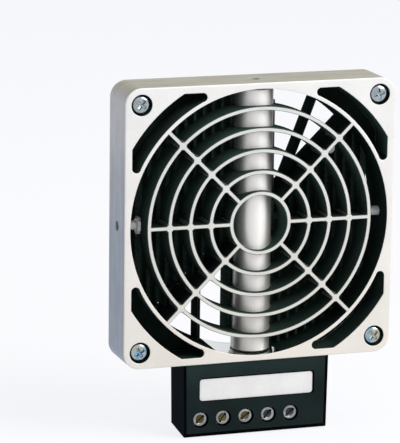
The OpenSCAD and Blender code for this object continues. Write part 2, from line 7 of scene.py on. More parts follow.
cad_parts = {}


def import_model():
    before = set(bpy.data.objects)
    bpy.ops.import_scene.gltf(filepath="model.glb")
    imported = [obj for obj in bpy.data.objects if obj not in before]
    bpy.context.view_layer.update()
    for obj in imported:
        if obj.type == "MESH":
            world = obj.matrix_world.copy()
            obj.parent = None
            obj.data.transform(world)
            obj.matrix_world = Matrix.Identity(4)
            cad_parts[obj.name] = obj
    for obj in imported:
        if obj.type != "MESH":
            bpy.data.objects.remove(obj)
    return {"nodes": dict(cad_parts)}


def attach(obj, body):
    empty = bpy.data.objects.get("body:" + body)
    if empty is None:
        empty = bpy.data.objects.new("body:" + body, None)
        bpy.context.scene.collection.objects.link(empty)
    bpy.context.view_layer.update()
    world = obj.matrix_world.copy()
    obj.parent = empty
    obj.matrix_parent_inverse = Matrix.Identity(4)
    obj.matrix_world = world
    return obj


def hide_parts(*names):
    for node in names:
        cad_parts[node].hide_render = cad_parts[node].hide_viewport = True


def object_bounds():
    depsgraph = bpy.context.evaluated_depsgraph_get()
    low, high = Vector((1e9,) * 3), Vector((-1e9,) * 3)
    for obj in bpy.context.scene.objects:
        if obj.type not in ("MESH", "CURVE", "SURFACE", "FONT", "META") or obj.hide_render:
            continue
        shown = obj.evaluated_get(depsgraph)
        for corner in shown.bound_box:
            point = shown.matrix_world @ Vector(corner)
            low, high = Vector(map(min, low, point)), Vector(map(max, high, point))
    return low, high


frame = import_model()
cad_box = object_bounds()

NODES = frame["nodes"]
SCENE = bpy.context.scene
MM = 0.001


def node_box(node):
    """Lowest and highest corner of a node of the part."""
    points = [v.co for v in NODES[node].data.vertices]
    low = Vector([min(p[i] for p in points) for i in range(3)])
    high = Vector([max(p[i] for p in points) for i in range(3)])
    return low, high


def side_middle(node, side):
    """Middle of a node's vertices on one side of X = 0, as (x, z)."""
    points = [v.co for v in NODES[node].data.vertices if v.co.x * side > 0]
    xs = [p.x for p in points]
    zs = [p.z for p in points]
    return (min(xs) + max(xs)) / 2, (min(zs) + max(zs)) / 2


# Sizes and places read from the frame
FRAME_LOW, FRAME_HIGH = node_box("guard_frame")
HOUSING_LOW, HOUSING_HIGH = node_box("terminal_housing")
LABEL_LOW, LABEL_HIGH = node_box("label_plate")
CORNER_LOW, CORNER_HIGH = node_box("corner_screws")
BLOCK_SCREW_LOW, BLOCK_SCREW_HIGH = node_box("block_screws")
TERMINAL_LOW, TERMINAL_HIGH = node_box("terminal_screws")
FRONT_Y = FRAME_LOW.y
HALF_SIDE = FRAME_HIGH.x
HOUSING_FRONT_Y = HOUSING_LOW.y
LABEL_Z = (LABEL_LOW.z + LABEL_HIGH.z) / 2
LABEL_HALF_H = (LABEL_HIGH.z - LABEL_LOW.z) / 2

# Sizes repeated from the part
BORE_R = 57 * MM
SCREW_PITCH = 104.8 * MM

# A face or a screw end further out than this is on the casting's outer skin
SKIN = HALF_SIDE - 2.3 * MM

# How squarely a face looks in a direction, from 0 edge-on to 1
BARELY = 0.05
PARTLY = 0.4
LARGELY = 0.8
MOSTLY = 0.85
SQUARELY = 0.95


# Helpers for the materials

def material(name):
    """A new material with its node tree and principled shader."""
    mat = bpy.data.materials.new(name)
    mat.use_nodes = True
    tree = mat.node_tree
    return mat, tree, tree.nodes["Principled BSDF"]


def put(tree, node, socket, value):
    """Sets one input to a value, or links it to an output."""
    target = node.inputs[socket]
    if isinstance(value, bpy.types.NodeSocket):
        tree.links.new(value, target)
    else:
        target.default_value = value


def add(tree, kind, **inputs):
    """A node with some of its inputs set or linked."""
    node = tree.nodes.new(kind)
    for key, value in inputs.items():
        put(tree, node, key.replace("_", " "), value)
    return node


def coords(tree, stretch=(1, 1, 1)):
    """Object coordinates, stretched."""
    place = tree.nodes.new("ShaderNodeTexCoord")
    return add(tree, "ShaderNodeMapping", Vector=place.outputs["Object"], Scale=stretch).outputs["Vector"]


def noise(tree, scale, detail=3, rough=0.55, stretch=(1, 1, 1)):
    """A factor from 0 to 1 that wanders over the surface."""
    node = add(tree, "ShaderNodeTexNoise", Scale=scale, Detail=detail, Roughness=rough,
               Vector=coords(tree, stretch))
    return node.outputs["Fac"]


def ramp(tree, fac, *stops):
    """Colours along a factor. Each stop is (place, colour)."""
    node = add(tree, "ShaderNodeValToRGB", Fac=fac)
    band = node.color_ramp
    while len(band.elements) < len(stops):
        band.elements.new(0.5)
    for element, (place, colour) in zip(band.elements, stops):
        element.position = place
        element.color = (*colour, 1)
    return node.outputs["Color"]


def two_tone(tree, fac, dark, light):
    """The usual soft change between two colours along a noise factor."""
    return ramp(tree, fac, (0.3, dark), (0.7, light))


def levels(tree, fac, low, high):
    """A factor from 0 to 1 mapped to a range."""
    return add(tree, "ShaderNodeMapRange", Value=fac, To_Min=low, To_Max=high).outputs["Result"]


def rise(tree, value, start, end):
    """A factor from 0 where a value is at start to 1 where it is at end."""
    return add(tree, "ShaderNodeMapRange", Value=value, From_Min=start, From_Max=end).outputs["Result"]


def axis_of(tree, vector, axis):
    """One component of a vector output."""
    return add(tree, "ShaderNodeSeparateXYZ", Vector=vector).outputs[axis]


def along_z(tree, start, end):
    """A factor from 0 to 1 between two heights."""
    return rise(tree, axis_of(tree, coords(tree), "Z"), start, end)


def mixed(tree, fac, a, b, mode="MIX"):
    """Two colours mixed. Each may be an output or a plain colour."""
    node = tree.nodes.new("ShaderNodeMix")
    node.data_type = "RGBA"
    node.blend_type = mode
    for name, value in (("Factor", fac), ("A", a), ("B", b)):
        target = [s for s in node.inputs if s.name == name and s.enabled][0]
        if isinstance(value, bpy.types.NodeSocket):
            tree.links.new(value, target)
        elif isinstance(value, (int, float)):
            target.default_value = value
        else:
            target.default_value = (*value, 1)
    return [s for s in node.outputs if s.enabled][0]


def bump(tree, shader, height, strength, distance=0.2 * MM):
    """Fine relief from a factor."""
    node = add(tree, "ShaderNodeBump", Strength=strength, Distance=distance, Height=height)
    put(tree, shader, "Normal", node.outputs["Normal"])


# Materials

def metal_front(name, dark, light):
    """Bright face-milled casting with a fine grain, a little warmer towards the bottom."""
    mat, tree, shader = material(name)
    tone = noise(tree, scale=38, detail=4)
    grain = noise(tree, scale=1900, detail=2)
    flecks = ramp(tree, grain, (0.35, (0.7, 0.69, 0.67)), (0.65, (0.97, 0.97, 0.96)))
    base = mixed(tree, 0.14, two_tone(tree, tone, dark, light), flecks)
    base = mixed(tree, along_z(tree, 45 * MM, -60 * MM), base, (0.97, 0.93, 0.87), "MULTIPLY")
    put(tree, shader, "Base Color", base)
    put(tree, shader, "Metallic", 0.3)
    put(tree, shader, "Roughness", levels(tree, tone, 0.42, 0.58))
    bump(tree, shader, grain, strength=0.12)
    return mat


def metal_cast():
    """As-cast skin of the outer walls: grey, bluer and darker lower down as painted cool shade, tan on
    upward faces as painted warm top light, with stains on top.
    """
    mat, tree, shader = material("cast_skin")
    tone = noise(tree, scale=60, detail=5, rough=0.6)
    streak = noise(tree, scale=160, stretch=(0.25, 2.5, 0.25))
    grain = noise(tree, scale=1300)
    stain = noise(tree, scale=95, detail=5, rough=0.65, stretch=(1, 2.2, 1))
    wall = ramp(tree, tone, (0.28, (0.45, 0.46, 0.5)), (0.72, (0.6, 0.61, 0.645)))
    # Painted cool shade: the walls turn bluer and darker lower down.
    wall = mixed(tree, along_z(tree, 45 * MM, -5 * MM), wall, (0.48, 0.61, 0.73), "MULTIPLY")
    # Painted warm top light: faces that look up get a tan colour.
    top = ramp(tree, tone, (0.28, (0.315, 0.29, 0.205)), (0.72, (0.415, 0.39, 0.285)))
    stained = ramp(tree, stain, (0.56, (0, 0, 0)), (0.72, (0.8, 0.8, 0.8)))
    top = mixed(tree, stained, top, (0.34, 0.27, 0.2))
    normal = tree.nodes.new("ShaderNodeNewGeometry").outputs["Normal"]
    base = mixed(tree, rise(tree, axis_of(tree, normal, "Z"), 0.15, 0.85), wall, top)
    streaks = ramp(tree, streak, (0.35, (0.38, 0.375, 0.37)), (0.65, (0.72, 0.71, 0.7)))
    put(tree, shader, "Base Color", mixed(tree, 0.22, base, streaks))
    put(tree, shader, "Metallic", 0.3)
    put(tree, shader, "Roughness", levels(tree, grain, 0.42, 0.62))
    bump(tree, shader, grain, strength=0.25, distance=0.3 * MM)
    return mat


def coated(name, dark, light, specular=0.0, painted_top_light=1.0):
    """Dark dull coat. Its last argument lightens the top half of the coat, as painted light from above."""
    mat, tree, shader = material(name)
    tone = noise(tree, scale=90, detail=4)
    grain = noise(tree, scale=1500, detail=2)
    base = two_tone(tree, tone, dark, light)
    # Painted light from above: the top half gets lighter copies of the two colours.
    if painted_top_light != 1.0:
        upper = two_tone(tree, tone, [c * painted_top_light for c in dark], [c * painted_top_light for c in light])
        base = mixed(tree, along_z(tree, -20 * MM, 30 * MM), base, upper)
    put(tree, shader, "Base Color", base)
    put(tree, shader, "Roughness", levels(tree, grain, 0.3, 0.45))
    put(tree, shader, "Specular IOR Level", specular)
    bump(tree, shader, grain, strength=0.06)
    return mat


def bored_wall():
    """Turned wall of the air bore, which mirrors the bar and the fins."""
    mat, tree, shader = material("bored_wall")
    lines = noise(tree, scale=800, detail=2, rough=0.5, stretch=(0.05, 1, 0.05))
    base = ramp(tree, lines, (0.35, (0.5, 0.55, 0.52)), (0.65, (0.68, 0.72, 0.69)))
    put(tree, shader, "Base Color", base)
    put(tree, shader, "Metallic", 1.0)
    put(tree, shader, "Roughness", levels(tree, lines, 0.08, 0.16))
    bump(tree, shader, lines, strength=0.05, distance=0.1 * MM)
    return mat


def edge_highlight():
    """Edges of the coated walls painted lighter, as a highlight where they catch the light."""
    mat, tree, shader = material("edge_highlight")
    wear = noise(tree, scale=420)
    base = ramp(tree, wear, (0.35, (0.2, 0.225, 0.21)), (0.7, (0.36, 0.39, 0.37)))
    put(tree, shader, "Base Color", base)
    put(tree, shader, "Roughness", levels(tree, wear, 0.35, 0.5))
    put(tree, shader, "Specular IOR Level", 0.0)
    return mat


def drawn_bar():
    """Drawn aluminium, darker low down, whose faint lines along the bar spread its highlight."""
    mat, tree, shader = material("drawn_aluminium")
    lines = noise(tree, scale=700, detail=2, rough=0.5, stretch=(1, 1, 0.02))
    tone = noise(tree, scale=45)
    base = two_tone(tree, tone, (0.84, 0.82, 0.785), (0.91, 0.895, 0.865))
    base = mixed(tree, along_z(tree, -12 * MM, -45 * MM), base, (0.8, 0.79, 0.77), "MULTIPLY")
    drawn = ramp(tree, lines, (0.35, (0.62, 0.615, 0.61)), (0.65, (0.93, 0.93, 0.925)))
    put(tree, shader, "Base Color", mixed(tree, 0.12, base, drawn))
    put(tree, shader, "Metallic", 0.8)
    put(tree, shader, "Roughness", levels(tree, lines, 0.46, 0.56))
    bump(tree, shader, lines, strength=0.06)
    around = tree.nodes.new("ShaderNodeTangent")
    around.direction_type = "RADIAL"
    around.axis = "Z"
    put(tree, shader, "Tangent", around.outputs["Tangent"])
    put(tree, shader, "Anisotropic", 0.4)
    put(tree, shader, "Anisotropic Rotation", 0.25)
    return mat


def anodised():
    """Black anodised extrusion with faint draw lines along the air flow."""
    mat, tree, shader = material("black_anodised")
    lines = noise(tree, scale=900, detail=2, rough=0.5, stretch=(1, 0.03, 1))
    put(tree, shader, "Base Color", two_tone(tree, lines, (0.02, 0.0375, 0.0305), (0.04, 0.0675, 0.056)))
    put(tree, shader, "Roughness", levels(tree, lines, 0.4, 0.55))
    put(tree, shader, "Specular IOR Level", 0.0)
    bump(tree, shader, lines, strength=0.08)
    return mat


def moulded(name, dark, light, rough=(0.4, 0.55), specular=0.5, upper=None):
    """Moulded plastic or rubber with a fine grain. The last argument gives two lighter colours just under
    the frame, as a painted highlight.
    """
    mat, tree, shader = material(name)
    tone = noise(tree, scale=55, detail=4)
    grain = noise(tree, scale=1700, detail=2)
    base = two_tone(tree, tone, dark, light)
    # Painted highlight: a lighter band just under the frame.
    if upper:
        base = mixed(tree, along_z(tree, -72 * MM, -60 * MM), base, two_tone(tree, tone, *upper))
    put(tree, shader, "Base Color", base)
    put(tree, shader, "Roughness", levels(tree, grain, *rough))
    put(tree, shader, "Specular IOR Level", specular)
    bump(tree, shader, grain, strength=0.12)
    return mat


def label_film():
    """Plain white film, a little grey in patches."""
    mat, tree, shader = material("label_film")
    tone = noise(tree, scale=110, detail=4)
    fibre = noise(tree, scale=900, detail=2)
    base = two_tone(tree, tone, (0.83, 0.83, 0.82), (0.92, 0.92, 0.915))
    fibres = ramp(tree, fibre, (0.4, (0.78, 0.78, 0.77)), (0.6, (0.96, 0.96, 0.96)))
    put(tree, shader, "Base Color", mixed(tree, 0.12, base, fibres))
    put(tree, shader, "Roughness", levels(tree, fibre, 0.34, 0.46))
    return mat


def plated(name, dark, light, rough=(0.2, 0.34), metallic=1.0, tint=()):
    """Plated or bare metal with small tone changes and scratches. tint lists the stops of a coloured
    film that comes in lower down."""
    mat, tree, shader = material(name)
    scratch = noise(tree, scale=2200, detail=2, rough=0.5, stretch=(1, 1, 0.12))
    base = two_tone(tree, noise(tree, scale=260), dark, light)
    if tint:
        film = ramp(tree, noise(tree, scale=230, detail=2, rough=0.5), *tint)
        base = mixed(tree, along_z(tree, 60 * MM, -50 * MM), base, film)
    put(tree, shader, "Base Color", base)
    put(tree, shader, "Metallic", metallic)
    put(tree, shader, "Roughness", levels(tree, scratch, *rough))
    bump(tree, shader, scratch, strength=0.05, distance=0.1 * MM)
    return mat


# Finishes of the casting
MILLED = metal_front("milled_frame", (0.82, 0.815, 0.795), (0.9, 0.9, 0.885))
RING_FACE = metal_front("milled_rings", (0.67, 0.69, 0.665), (0.76, 0.775, 0.755))
CAST = metal_cast()
# The coat of the grille walls, with painted light from above on its top half.
COAT = coated("dark_coat", (0.021, 0.039, 0.0325), (0.036, 0.0605, 0.052), painted_top_light=1.8)
# The same coat painted darker as shade, for faces deep in the grille that look neither in nor out.
SHADED_COAT = coated("coat_in_shade", (0.01, 0.018, 0.015), (0.02, 0.033, 0.028))
# The same coat painted lighter as light, for the outward walls of the corner pockets.
LIT_POCKET_WALL = coated("pocket_wall_lit", (0.04, 0.062, 0.052), (0.065, 0.092, 0.08))
RUBBED = coated("rubbed_edge", (0.1, 0.115, 0.108), (0.18, 0.195, 0.185))
BORE = bored_wall()
BORE_COAT = coated("bore_coat", (0.01, 0.021, 0.0175), (0.0195, 0.036, 0.03))
EDGE_HIGHLIGHT = edge_highlight()

# Finishes of the bar and the fin blocks
BAR = drawn_bar()
ANODISED = anodised()
BARE = coated("bare_edge", (0.16, 0.16, 0.155), (0.24, 0.24, 0.235), specular=0.2)

# Finishes of the housing and the label
BLOCK = moulded("black_moulding", (0.0085, 0.014, 0.0145), (0.014, 0.022, 0.0225), (0.45, 0.6), 0.05)
# The housing's front, with a painted highlight along its top just under the frame.
BLOCK_FRONT = moulded("housing_front", (0.0075, 0.0135, 0.0135), (0.0125, 0.021, 0.021), (0.45, 0.6), 0.05,
                      upper=((0.013, 0.026, 0.0245), (0.02, 0.036, 0.0335)))
# Darker copies of the housing moulding as painted shade: one for its left side and back, a darker one for
# its underside, right faces, bevels and label recess.
HOUSING_SIDE_SHADE = moulded("housing_side_in_shade", (0.002, 0.0035, 0.0065), (0.004, 0.0065, 0.0115), (0.5, 0.65), 0.004)
HOUSING_DEEP_SHADE = moulded("housing_deep_in_shade", (0.0012, 0.0016, 0.0018), (0.002, 0.0028, 0.003), (0.5, 0.65), 0.003)
LABEL = label_film()

# Finishes of the screws
ZINC = plated("zinc_plate", (0.22, 0.26, 0.29), (0.46, 0.52, 0.56), (0.16, 0.28))
PASSIVATED = plated("passivated_zinc", (0.24, 0.28, 0.3), (0.48, 0.53, 0.56), (0.16, 0.28),
                    tint=((0.42, (0.17, 0.33, 0.46)), (0.55, (0.4, 0.47, 0.5)), (0.7, (0.48, 0.4, 0.22))))
# Near-white painted highlight, standing in for the glints on the fin block lugs and screws.
PAINTED_HIGHLIGHT = plated("highlight_white", (0.94, 0.945, 0.95), (0.99, 0.99, 0.99), (0.3, 0.4), metallic=0.1)
RING_STEEL = plated("terminal_steel", (0.2, 0.215, 0.22), (0.4, 0.42, 0.425))
SHADED_BRASS = plated("shaded_brass", (0.075, 0.06, 0.022), (0.18, 0.145, 0.06), (0.35, 0.5))
# Dark steel as painted shade, for screw ends and dishes sunk in hollows.
SHADED_STEEL = plated("steel_in_shade", (0.03, 0.033, 0.035), (0.09, 0.095, 0.1), (0.35, 0.55))
# Black as painted shade, hiding the left fin block screw.
SHADE_BLACK = coated("shade_black_steel", (0.006, 0.007, 0.007), (0.014, 0.016, 0.016))

# Finishes of the inner pieces
SHEATH = plated("sheath_steel", (0.5, 0.5, 0.5), (0.66, 0.66, 0.66))
BRASS = plated("brass_metal", (0.52, 0.38, 0.16), (0.74, 0.56, 0.27))
CERAMIC = moulded("plug_ceramic", (0.68, 0.63, 0.56), (0.8, 0.76, 0.7), (0.6, 0.8))
LIMITER = moulded("limiter_case", (0.02, 0.02, 0.021), (0.035, 0.035, 0.036))
GROMMET = moulded("grommet_rubber", (0.018, 0.018, 0.018), (0.03, 0.03, 0.03), (0.6, 0.8))
LEAD = moulded("lead_silicone", (0.3, 0.04, 0.03), (0.4, 0.06, 0.045), (0.35, 0.5))
EARTH = moulded("earth_silicone", (0.3, 0.42, 0.04), (0.42, 0.55, 0.07), (0.35, 0.5))


# Helpers for the pieces

WELD = 0.001 * MM
SMOOTH_BELOW = math.radians(38)
ROUND_ABOVE = math.radians(40)
NORMAL_WEIGHT = 100


def finish_piece(name, bm, mats, node):
    """Makes the object of a bmesh, shades it, and lets it stand for a node of the part."""
    mesh = bpy.data.meshes.new(name)
    bmesh.ops.recalc_face_normals(bm, faces=bm.faces)
    bm.to_mesh(mesh)
    bm.free()
    for mat in mats:
        mesh.materials.append(mat)
    mesh.shade_smooth()
    mesh.set_sharp_from_angle(angle=SMOOTH_BELOW)
    obj = bpy.data.objects.new(name, mesh)
    SCENE.collection.objects.link(obj)
    weighted = obj.modifiers.new("weighted", "WEIGHTED_NORMAL")
    weighted.keep_sharp = True
    weighted.weight = NORMAL_WEIGHT
    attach(obj, "root")
    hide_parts(node)


def welded(node):
    """A bmesh of a node's mesh with its seams closed."""
    bm = bmesh.new()
    bm.from_mesh(NODES[node].data)
    bmesh.ops.remove_doubles(bm, verts=bm.verts, dist=WELD)
    return bm


def round_edges(bm, width, chosen=None, segments=2):
    """Rounds the sharp edges, or the chosen ones among them. Returns the new faces."""
    edges = [e for e in bm.edges if len(e.link_faces) == 2 and e.calc_face_angle(0) > ROUND_ABOVE
             and (chosen is None or chosen(e))]
    made = bmesh.ops.bevel(bm, geom=edges, offset=width, offset_type="OFFSET", segments=segments,
                           profile=0.5, affect="EDGES", clamp_overlap=False, miter_outer="SHARP",
                           miter_inner="SHARP", loop_slide=False)
    bmesh.ops.triangulate(bm, faces=[f for f in bm.faces if len(f.verts) > 4])
    return made["faces"]


def smooth_step(x):
    """0 up to x = 0, 1 from x = 1, and a soft rise between."""
    x = min(max(x, 0.0), 1.0)
    return x * x * (3 - 2 * x)


def around_y(place, r, turn, y):
    """A point at radius r and a share of a whole turn around an axis along Y through place."""
    angle = 2 * math.pi * turn
    return place[0] + r * math.cos(angle), y, place[1] + r * math.sin(angle)


def bridge(bm, row, following):
    """Faces between two rings of vertices."""
    return [bm.faces.new((row[j - 1], following[j - 1], following[j], row[j])) for j in range(len(row))]


def turned_head(bm, place, radius, front, back, depth_at, rings, segments, sunk=0.0, sunk_index=0):
    """A screw head along Y: its front follows depth_at, and its side runs to the back plane. Faces of the
    front that lie deeper than sunk get the material of that index."""
    centre = bm.verts.new((place[0], front + depth_at(0, 0), place[1]))
    rows = []
    for i in range(1, rings + 1):
        row = []
        for j in range(segments):
            x, _, z = around_y((0, 0), radius * i / rings, j / segments, 0)
            row.append(bm.verts.new((place[0] + x, front + depth_at(x, z), place[1] + z)))
        rows.append(row)
    faces = [bm.faces.new((centre, rows[0][j - 1], rows[0][j])) for j in range(segments)]
    for row, following in zip(rows, rows[1:]):
        faces += bridge(bm, row, following)
    for f in faces:
        if f.calc_center_median().y - front > sunk:
            f.material_index = sunk_index
    rear = [bm.verts.new((v.co.x, back, v.co.z)) for v in rows[-1]]
    bridge(bm, rows[-1], rear)
    bm.faces.new(rear)


def threaded_rod(bm, place, radius, core, start, end, pitch, segments=28):
    """A threaded rod along Y with a tapered end. The number of steps is rounded off before it is cut, so
    that a whole number stays whole."""
    steps_per_turn = 8
    taper_turns = 0.9
    tip = 0.92
    steps = int(round((end - start) / pitch * steps_per_turn, 3))
    rows = []
    for i in range(steps + 1):
        y = start + (end - start) * i / steps
        taper = min(1.0, (end - y) / (taper_turns * pitch))
        row = []
        for j in range(segments):
            turn = j / segments
            wave = abs(((y - start) / pitch - turn) % 1.0 - 0.5) * 2
            r = core * tip if i == steps else core + (radius - core) * wave * taper
            row.append(bm.verts.new(around_y(place, r, turn, y)))
        rows.append(row)
    for row, following in zip(rows, rows[1:]):
        bridge(bm, row, following)
    bm.faces.new(rows[0])
    bm.faces.new(rows[-1])


def cross_head_depth(radius, drop, arm, width, deep, spin):
    """Depth of a domed head with a cross recess, below the head's top."""
    c, s = math.cos(spin), math.sin(spin)
    soft = 0.18 * MM
    bulge = 0.9
    rim = 1 - math.sqrt(1 - bulge)

    def depth(x, z):
        share = math.hypot(x, z) / radius
        dome = drop * (1 - math.sqrt(max(0.0, 1 - bulge * share ** 2))) / rim
        u, v = abs(c * x + s * z), abs(c * z - s * x)
        near, far = min(u, v), max(u, v)
        cut = smooth_step((width / 2 - near) / soft + 0.5) * smooth_step((arm - far) / (2 * soft) + 0.5)
        return max(dome, dome * (1 - cut) + cut * deep * (1 - 0.5 * far / arm))

    return depth


def slotted_dish_depth(spin):
    """Depth of a dished terminal screw with one slot and a round rim, below the head's top."""
    c, s = math.cos(spin), math.sin(spin)
    rim_start, rim_round = 2.75 * MM, 0.35 * MM
    dish_r, dish_deep, dish_soft = 2.0 * MM, 0.7 * MM, 0.7 * MM
    slot_half, slot_deep, slot_soft = 0.48 * MM, 1.35 * MM, 0.16 * MM
    slot_end, slot_end_soft = 2.35 * MM, 0.4 * MM

    def depth(x, z):
        r = math.hypot(x, z)
        edge = max(0.0, r - rim_start) / rim_round
        rim = rim_round * (1 - math.sqrt(max(0.0, 1 - edge * edge)))
        dish = dish_deep * smooth_step((dish_r - r) / dish_soft)
        slot = slot_deep * smooth_step((slot_half - abs(c * z - s * x)) / slot_soft + 0.5)
        return max(rim, dish, slot * smooth_step((slot_end - r) / slot_end_soft))

    return depth


# The casting

CASTING_FINISHES = [MILLED, CAST, COAT, EDGE_HIGHLIGHT, RING_FACE, BORE, SHADED_COAT, BORE_COAT, LIT_POCKET_WALL, RUBBED]


def casting_finish(face, is_edge):
    """The finish of one face of the casting, by its place and the way it faces."""
    front_depth, rear_depth, bore_band = 0.55 * MM, 0.3 * MM, 0.3 * MM
    pocket_r = 58 * MM
    bare_left, bare_right = -18 * MM, 9.5 * MM
    middle, normal = face.calc_center_median(), face.normal
    r = math.hypot(middle.x, middle.z)
    outward = (middle.x * normal.x + middle.z * normal.z) / r
    if middle.y < FRONT_Y + front_depth and normal.y < -BARELY:
        if r > BORE_R - bore_band:
            return MILLED
        return RING_FACE if normal.y < -SQUARELY else RUBBED
    if max(abs(middle.x), abs(middle.z)) > SKIN or middle.y > FRAME_HIGH.y - rear_depth:
        return CAST
    if abs(r - BORE_R) < bore_band and outward < -LARGELY:
        return BORE if middle.z < 0 and bare_left < middle.x < bare_right else BORE_COAT
    # Rounded edges of the coated walls get a painted highlight.
    if is_edge and abs(outward) > PARTLY:
        return EDGE_HIGHLIGHT
    # The outward walls of the corner pockets get painted light.
    if r > pocket_r and outward > MOSTLY:
        return LIT_POCKET_WALL
    # Faces that look neither in nor out get the coat with painted shade.
    return COAT if abs(outward) > MOSTLY else SHADED_COAT


def guard_casting():
    """The frame and grille: milled front, cast skin, dark coat inside and painted highlights on the back
    edges.
    """
    front_round, edge_round = 0.5 * MM, 0.22 * MM
    rim_inside = HALF_SIDE - 2.1 * MM
    in_plane = 0.05 * MM
    bm = welded("guard_frame")
    edge_mark = bm.faces.layers.int.new("bevel_faces")

    def is_front_rim(edge):
        return all(v.co.y < FRONT_Y + in_plane and max(abs(v.co.x), abs(v.co.z)) > rim_inside
                   for v in edge.verts)

    round_edges(bm, front_round, is_front_rim, segments=3)
    for f in round_edges(bm, edge_round):
        f[edge_mark] = 1
    for f in bm.faces:
        f.material_index = CASTING_FINISHES.index(casting_finish(f, f[edge_mark]))
    finish_piece("guard_casting", bm, CASTING_FINISHES, "guard_frame")


# The bar and the fin blocks

def plain_piece(name, node, mat, width):
    """A node of the part with rounded edges and one material."""
    bm = welded(node)
    round_edges(bm, width)
    finish_piece(name, bm, [mat], node)


def fit_fins(bm, side):
    """Ends a fin block's root sooner, lets its fins reach further and thickens its last fin."""
    root_end, root_reach = 50 * MM, 10.2 * MM
    tips_from, tips_to, beside_lug = 55.9 * MM, 56.8 * MM, 15 * MM
    last_fin, last_fin_root, last_fin_tip = 50 * MM, 51.2 * MM, 51.6 * MM
    web_line, web_reach = 1.91 * MM, 0.5 * MM
    tip_slack, line_slack, face_slack = 0.1 * MM, 0.04 * MM, 0.02 * MM
    for v in bm.verts:
        x, z = v.co.x, v.co.z
        if z * side > root_end and abs(x) < root_reach:
            v.co.z = root_end * side
        elif math.hypot(x, z) > tips_from and abs(z) > beside_lug:
            if abs(x) > last_fin - tip_slack:
                v.co.x = math.copysign(last_fin_tip, x)
            v.co.z = math.copysign(math.sqrt(tips_to ** 2 - v.co.x ** 2), z)
        elif abs((x - z) * side - web_line) < line_slack:
            v.co.z += web_reach * side
        elif abs(abs(x) - last_fin) < face_slack:
            v.co.x = math.copysign(last_fin_root, x)


def fin_body(name, node, side):
    """A fin block: black fins, a lug with rounded corners at the set screw painted white as a highlight, and
    on the right one a bare root edge."""
    lug_x, lug_half_h, lug_y = 49.7 * MM, 3.7 * MM, -9.9 * MM
    corner_y, corner_z, corner_round = -14.3 * MM, 3.3 * MM, 1.7 * MM
    edge_round = 0.12 * MM
    root_left, root_right, root_low = 8 * MM, 10.2 * MM, 11 * MM
    bm = welded(node)
    fit_fins(bm, side)

    def on_lug(p):
        return abs(p.x) > lug_x and abs(p.z) < lug_half_h and p.y < lug_y

    def is_lug_corner(edge):
        return all(on_lug(v.co) and v.co.y < corner_y and abs(v.co.z) > corner_z for v in edge.verts)

    round_edges(bm, corner_round, is_lug_corner, segments=6)
    round_edges(bm, edge_round)
    finishes = [ANODISED, PAINTED_HIGHLIGHT, BARE]
    for f in bm.faces:
        middle = f.calc_center_median()
        # The lug faces get the painted highlight.
        if on_lug(middle):
            f.material_index = finishes.index(PAINTED_HIGHLIGHT)
        elif side > 0 and root_left < middle.x < root_right and middle.z > root_low:
            f.material_index = finishes.index(BARE)
    finish_piece(name, bm, finishes, node)


# The housing and the label

def widen_housing(bm):
    """Widens the housing's right and lower front bevels and the label's recess."""
    in_plane, bevel_reach, bevel_rise = 0.05 * MM, 2 * MM, 1.5 * MM
    more_right, more_low = 1.0 * MM, 0.8 * MM
    recess_deep, beside_label, above_label = 0.95 * MM, 0.4 * MM, 0.3 * MM
    recess_up, recess_right = 0.5 * MM, 0.4 * MM
    for v in bm.verts:
        if v.co.y < HOUSING_FRONT_Y + in_plane:
            if v.co.x > HOUSING_HIGH.x - bevel_reach:
                v.co.x -= more_right
            if v.co.z < HOUSING_LOW.z + bevel_rise:
                v.co.z += more_low
        if (v.co.y < HOUSING_FRONT_Y + recess_deep and abs(v.co.x) < LABEL_HIGH.x + beside_label
                and abs(v.co.z - LABEL_Z) < LABEL_HALF_H + above_label):
            if v.co.z > LABEL_Z:
                v.co.z += recess_up
            if v.co.x > 0:
                v.co.x += recess_right


def housing_shell():
    """The terminal housing, darker on its sides, its bevels, its label recess and below, as painted shade.
    """
    edge_round = 0.22 * MM
    sunk_from, recess_half_h = 0.3 * MM, 5.6 * MM
    bm = welded("terminal_housing")
    widen_housing(bm)
    round_edges(bm, edge_round)
    finishes = [BLOCK_FRONT, HOUSING_SIDE_SHADE, HOUSING_DEEP_SHADE]
    for f in bm.faces:
        normal, middle = f.normal, f.calc_center_median()
        sunk = middle.y > HOUSING_FRONT_Y + sunk_from and abs(middle.z - LABEL_Z) < recess_half_h
        if normal.z < -PARTLY or normal.x > PARTLY or sunk and normal.y < -PARTLY:
            f.material_index = finishes.index(HOUSING_DEEP_SHADE)
        elif normal.x < -PARTLY or normal.y > -PARTLY:
            f.material_index = finishes.index(HOUSING_SIDE_SHADE)
    finish_piece("housing_shell", bm, finishes, "terminal_housing")


def label_face():
    """The plain label as a thin film at the bottom of its recess."""
    in_plane, thinner, edge_round = 0.2 * MM, 0.3 * MM, 0.06 * MM
    bm = welded("label_plate")
    for v in bm.verts:
        if v.co.y < LABEL_LOW.y + in_plane:
            v.co.y += thinner
    round_edges(bm, edge_round)
    finish_piece("label_face", bm, [LABEL], "label_plate")


# The screws

def grub_screws(name, node):
    """Set screws, painted white as a highlight inside and painted dark as shade at their sunk outer ends."""
    edge_round = 0.2 * MM
    bm = welded(node)
    round_edges(bm, edge_round)
    finishes = [PAINTED_HIGHLIGHT, SHADED_STEEL]
    for f in bm.faces:
        middle = f.calc_center_median()
        outside = max(abs(middle.x), abs(middle.z)) > SKIN
        f.material_index = finishes.index(SHADED_STEEL if outside else PAINTED_HIGHLIGHT)
    finish_piece(name, bm, finishes, node)


